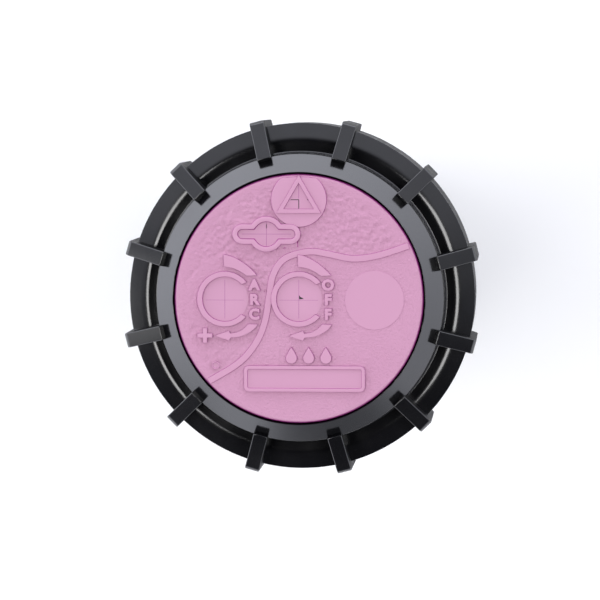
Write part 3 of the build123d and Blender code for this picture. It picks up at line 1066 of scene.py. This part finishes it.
@dataclass
class Studio:
    """A pale floor, pale walls, two soft boxes, a low strip light and the camera."""

    target: tuple[float, float, float] = (0.0, 0.0, 0.1895)
    distance: float = 0.7
    tilt: float = 4.7
    bearing: float = 42.0
    lens: float = 220.0
    bright_side: float = 145.0
    near_side: float = 282.0
    wall_glow: Ends = (-1.0, 1.0, 2.0, 3.1)
    wall_top: Ends = (0.42, 0.26, 0.0, 1.0)
    near_shade: Ends = (0.8, 1.0, 1.0, 0.28)
    upper_side: float = 95.0
    upper_glow: Ends = (-0.7, 1.0, 0.05, 1.2)
    upper_top: Ends = (0.9, 0.68, 0.0, 1.0)
    wall_tint: Colour = (0.96, 0.98, 1.09)
    box_distance: float = 1.3
    box_height: float = 66.0
    box_glow: float = 9.0
    box_size: Point = (0.9, 0.36)
    box_bearings: tuple[tuple[str, float], ...] = (("right_box", -3.0), ("left_box", 185.0))
    strip_bearing: float = 184.0
    strip_height: float = 26.0
    strip_size: Point = (0.6, 0.16)
    strip_glow: float = 2.0

    def floor(self) -> Piece:
        """Lay the pale floor."""
        clear()
        bpy.ops.mesh.primitive_plane_add(size=2.0)
        plane = bpy.context.object
        plane.name = "floor"
        material = bpy.data.materials.new("pale_floor")
        material.use_nodes = True
        shader = material.node_tree.nodes["Principled BSDF"]
        shader.inputs["Base Color"].default_value = (0.94, 0.94, 0.94, 1)
        shader.inputs["Roughness"].default_value = 0.9
        shader.inputs["Specular IOR Level"].default_value = 0.1
        paint(plane, material)
        return plane

    def panel(self, name: str, bearing: float, height: float, size: Point, glow: float) -> None:
        """Hang a soft box that faces the cap.

        Args:
            name: The box's name.
            bearing: Where it hangs, in degrees from +X.
            height: How high it hangs, in degrees above the horizon.
            size: Its width and height in metres.
            glow: How bright it looks, where 1 is a white wall.
        """
        light = bpy.data.lights.new(name, "AREA")
        light.shape = "RECTANGLE"
        light.size, light.size_y = size
        light.energy = glow * math.pi * size[0] * size[1]
        lamp = bpy.data.objects.new(name, light)
        bpy.context.scene.collection.objects.link(lamp)
        side, rise = math.radians(bearing), math.radians(height)
        way = Vector((math.cos(rise) * math.cos(side), math.cos(rise) * math.sin(side), math.sin(rise)))
        lamp.location = Vector(self.target) + way * self.box_distance
        lamp.rotation_euler = (-way).to_track_quat("-Z", "Y").to_euler()

    def room(self) -> None:
        """Light the room: pale walls to a third of the way up, dimmer on the near side."""
        world = bpy.data.worlds.new("room")
        world.use_nodes = True
        tree = world.node_tree
        wire = tree.links.new
        way = node(tree, "ShaderNodeTexCoord")
        level = node(tree, "ShaderNodeVectorMath", operation="MULTIPLY")
        level.inputs[1].default_value = (1, 1, 0)
        wire(way.outputs["Generated"], level.inputs[0])
        flat = node(tree, "ShaderNodeVectorMath", operation="NORMALIZE")
        wire(level.outputs[0], flat.inputs[0])
        split = node(tree, "ShaderNodeSeparateXYZ")
        wire(way.outputs["Generated"], split.inputs[0])

        def ramp(source: bpy.types.NodeSocket, ends: Ends) -> bpy.types.NodeSocket:
            """Ease a value from one range to another."""
            made = node(tree, "ShaderNodeMapRange", interpolation_type="SMOOTHSTEP")
            for label, value in zip(("From Min", "From Max", "To Min", "To Max"), ends):
                made.inputs[label].default_value = value
            wire(source, made.inputs["Value"])
            return made.outputs["Result"]

        def towards(bearing: float) -> bpy.types.NodeSocket:
            """How far a direction leans towards a bearing in degrees."""
            made = node(tree, "ShaderNodeVectorMath", operation="DOT_PRODUCT")
            turn = math.radians(bearing)
            made.inputs[1].default_value = (math.cos(turn), math.sin(turn), 0)
            wire(flat.outputs[0], made.inputs[0])
            return made.outputs["Value"]

        def combine(kind: str, a: bpy.types.NodeSocket, b: bpy.types.NodeSocket) -> bpy.types.NodeSocket:
            """Work out one value from two."""
            made = node(tree, "ShaderNodeMath", operation=kind)
            wire(a, made.inputs[0])
            wire(b, made.inputs[1])
            return made.outputs[0]

        height = split.outputs["Z"]
        wall = ramp(towards(self.bright_side), self.wall_glow)
        wall = combine("MULTIPLY", wall, ramp(height, self.wall_top))
        wall = combine("MULTIPLY", wall, ramp(towards(self.near_side), self.near_shade))
        upper = ramp(towards(self.upper_side), self.upper_glow)
        upper = combine("MULTIPLY", upper, ramp(height, self.upper_top))
        back = tree.nodes["Background"]
        back.inputs["Color"].default_value = (*self.wall_tint, 1)
        wire(combine("ADD", wall, upper), back.inputs["Strength"])
        bpy.context.scene.world = world

    def camera(self) -> None:
        """Look down on the cover, a little from the far right."""
        tilt, bearing = math.radians(self.tilt), math.radians(self.bearing)
        way = Vector((math.sin(tilt) * math.cos(bearing), math.sin(tilt) * math.sin(bearing), math.cos(tilt)))
        lens = bpy.data.cameras.new("camera")
        lens.lens = self.lens
        lens.shift_x, lens.shift_y = 0.002, -0.002
        eye = bpy.data.objects.new("camera", lens)
        bpy.context.scene.collection.objects.link(eye)
        eye.location = Vector(self.target) + way * self.distance
        back = way.normalized()
        right = Vector((0, 1, 0)).cross(back).normalized()
        up = back.cross(right)
        eye.rotation_euler = Matrix((right, up, back)).transposed().to_euler()
        bpy.context.scene.camera = eye

    def build(self) -> None:
        """Set up the whole studio."""
        self.camera()
        self.floor()
        self.room()
        for name, bearing in self.box_bearings:
            self.panel(name, bearing, self.box_height, self.box_size, self.box_glow)
        self.panel("left_strip", self.strip_bearing, self.strip_height, self.strip_size, self.strip_glow)
        bpy.context.scene.view_settings.view_transform = "Standard"


def dress_nodes(materials: dict[Slot, bpy.types.Material]) -> None:
    """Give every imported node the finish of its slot."""
    slots = {part["node"]: Slot(part["material_slot"]) for part in frame["record"]["subparts"]}
    for name, piece in frame["nodes"].items():
        for place in piece.material_slots:
            place.material = materials[slots[name]]


def main() -> None:
    """Build the studio, the finishes and each modelled piece."""
    logging.basicConfig(level=logging.INFO, format="%(name)s: %(message)s")
    Studio().build()
    groups = {"grain": grain_group(), "wear": wear_group(), "dust": dust_group()}
    materials = {slot: finish.make(slot, groups) for slot, finish in FINISHES.items()}
    dress_nodes(materials)
    log.info("dressed %d nodes", len(frame["nodes"]))
    cap = ScrewCap().build(materials[Slot.CAP], MATT_SKIRT.make(Slot.CAP, groups))
    log.info("%s: %d faces", cap.name, len(cap.data.polygons))
    cover = TurretCover().build(
        materials[Slot.COVER],
        SMOOTH_RUBBER.make(Slot.COVER, groups),
        HAIRLINE_SHADE.make(Slot.COVER, groups),
        materials[Slot.SEAL],
    )
    log.info("%s: %d faces", cover.name, len(cover.data.polygons))
    springs = (
        CoilSpring("riser_spring", "retract_spring", "casing", "riser_slide", 22.0, 1.5, 14, 100.0),
        CoilSpring("valve_spring", "check_valve_spring", "riser", "check_valve_lift", 3.9, 0.5, 5, 3.0),
    )
    for spring in springs:
        wound = spring.build(materials[Slot.STEEL])
        log.info("%s: %d faces", wound.name, len(wound.data.polygons))


if __name__ == "__main__":
    main()
